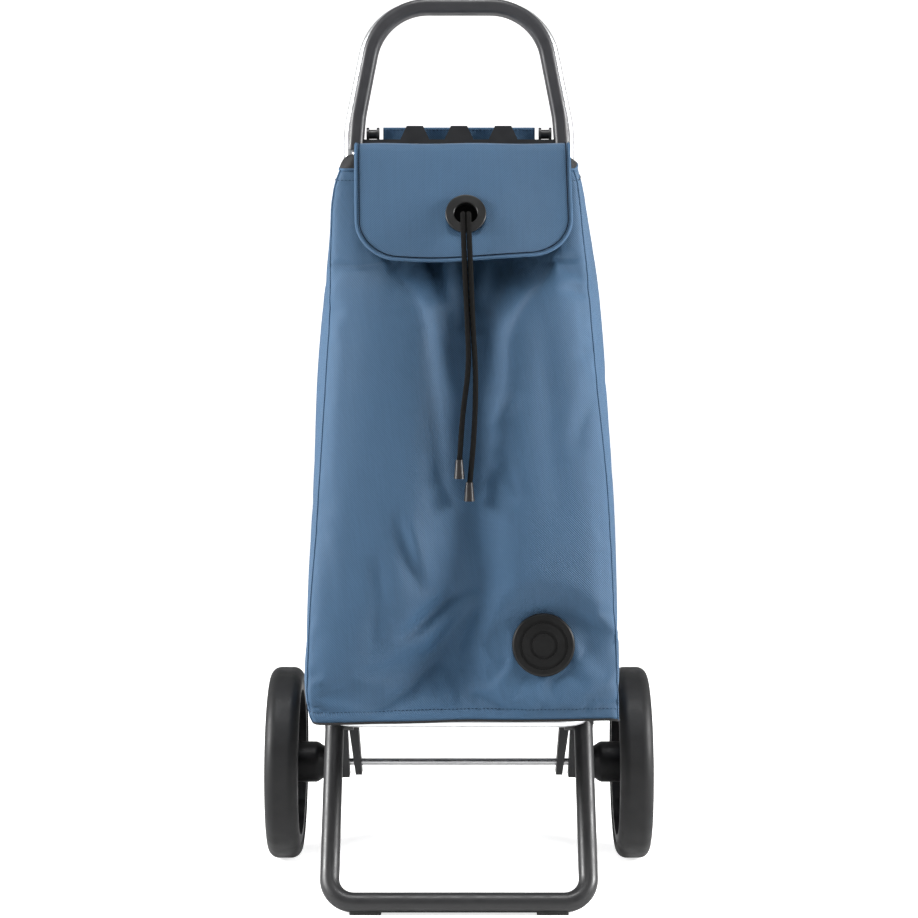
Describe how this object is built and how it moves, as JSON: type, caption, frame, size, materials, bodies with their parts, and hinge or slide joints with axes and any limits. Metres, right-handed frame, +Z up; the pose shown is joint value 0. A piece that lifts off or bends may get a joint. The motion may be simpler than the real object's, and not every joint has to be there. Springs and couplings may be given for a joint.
{
  "type": "folding shopping trolley",
  "caption": "Folding shopping trolley: aluminium arch frame, wheeled axle, hinged platform and foot, fabric bag with flap and drawcords.",
  "frame": {"origin": "on the floor, straight below the middle of the wheel axle", "axes": "+X to the trolley's right-hand side of the picture seen from the front, -Y to the front where the bag faces, +Z up"},
  "size_m": [0.443, 0.3825, 1.0059],
  "materials": {
    "aluminium": "satin anodised",
    "black_moulding": "fine grained moulding",
    "blue_fabric": "twill-woven polyester",
    "black_lining": "plain lining cloth",
    "zinc_steel": "bright steel",
    "black_paint": "satin powder coat",
    "rubber": "matte",
    "board_plastic": "matte",
    "badge_plastic": "satin",
    "cord": "braided",
    "tip_plastic": "semi-gloss",
    "tyre": "matte",
    "wheel_plastic": "satin",
    "nylon": "smooth"
  },
  "bodies": {
    "frame": {"frame_tube": "aluminium", "handle_grip": "black_moulding", "crossbar": "black_moulding", "hang_strip": "blue_fabric", "lower_joint_left": "black_moulding", "lower_joint_right": "black_moulding", "joint_screws": "zinc_steel", "platform_pins": "zinc_steel", "axle": "zinc_steel", "axle_spacer_left": "black_moulding", "axle_spacer_right": "black_moulding", "axle_clip_left": "zinc_steel", "axle_clip_right": "zinc_steel", "bag": "blue_fabric", "bag_collar": "black_lining"},
    "platform": {"platform_tube": "aluminium", "platform_brace": "aluminium", "platform_fork_left": "black_moulding", "platform_fork_right": "black_moulding", "foot_bracket_left": "black_moulding", "foot_bracket_right": "black_moulding", "foot_pins": "zinc_steel", "bracket_rivets": "zinc_steel"},
    "foot": {"foot_tube": "black_paint", "foot_plug_left": "black_moulding", "foot_plug_right": "black_moulding", "foot_pads": "rubber"},
    "board": {"base_board": "board_plastic"},
    "bag_front": {"emblem": "badge_plastic"},
    "flap": {"flap": "blue_fabric"},
    "flap_front": {"eyelet_front": "black_moulding", "eyelet_back": "black_moulding"},
    "cords": {"cord_left": "cord", "cord_right": "cord", "cord_tip_left": "tip_plastic", "cord_tip_right": "tip_plastic"},
    "left_wheel": {"tyre_left": "tyre", "rim_left": "wheel_plastic", "bush_left": "nylon", "hub_cap_left": "wheel_plastic"},
    "right_wheel": {"tyre_right": "tyre", "rim_right": "wheel_plastic", "bush_right": "nylon", "hub_cap_right": "wheel_plastic"}
  },
  "joints": [
    {"name": "left_wheel_spin", "type": "hinge", "parent": "frame", "child": "left_wheel", "pos_m": [-0.20225, 0, 0.11], "axis": [1, 0, 0], "continuous": true},
    {"name": "right_wheel_spin", "type": "hinge", "parent": "frame", "child": "right_wheel", "pos_m": [0.20225, 0, 0.11], "axis": [1, 0, 0], "continuous": true},
    {"name": "platform_fold", "type": "hinge", "parent": "frame", "child": "platform", "pos_m": [0, -0.06, 0.203], "axis": [-1, 0, 0], "range_deg": [0, 88], "deforming": ["bag", "bag_collar", "flap", "emblem"]},
    {"name": "foot_fold", "type": "hinge", "parent": "platform", "child": "foot", "pos_m": [0, -0.135, 0.184], "axis": [-1, 0, 0], "range_deg": [0, 54]},
    {"name": "flap_open", "type": "hinge", "parent": "frame", "child": "flap", "pos_m": [0, -0.03, 0.824], "axis": [-1, 0, 0], "range_deg": [0, 90], "deforming": ["cord_left", "cord_right"]},
    {"name": "board_fold", "type": "hinge", "parent": "frame", "child": "board", "pos_m": [0, -0.031, 0.217], "axis": [-1, 0, 0], "range_deg": [0, 88]},
    {"name": "front_collapse", "type": "slide", "parent": "frame", "child": "bag_front", "axis": [0, 1, 0], "range_m": [0, 0.218]},
    {"name": "flap_collapse", "type": "slide", "parent": "flap", "child": "flap_front", "axis": [0, 1, 0], "range_m": [0, 0.176]},
    {"name": "cord_swing", "type": "hinge", "parent": "flap_front", "child": "cords", "pos_m": [0.0073, -0.2296, 0.7465], "axis": [-1, 0, 0], "range_deg": [-90, 0]}
  ],
  "couplings": [
    {"joint": "board_fold", "follows": "platform_fold", "ratio": 1},
    {"joint": "front_collapse", "follows": "platform_fold", "m_per_rad": 0.14129},
    {"joint": "flap_collapse", "follows": "platform_fold", "m_per_rad": 0.11401},
    {"joint": "cord_swing", "follows": "flap_open", "ratio": -1}
  ]
}
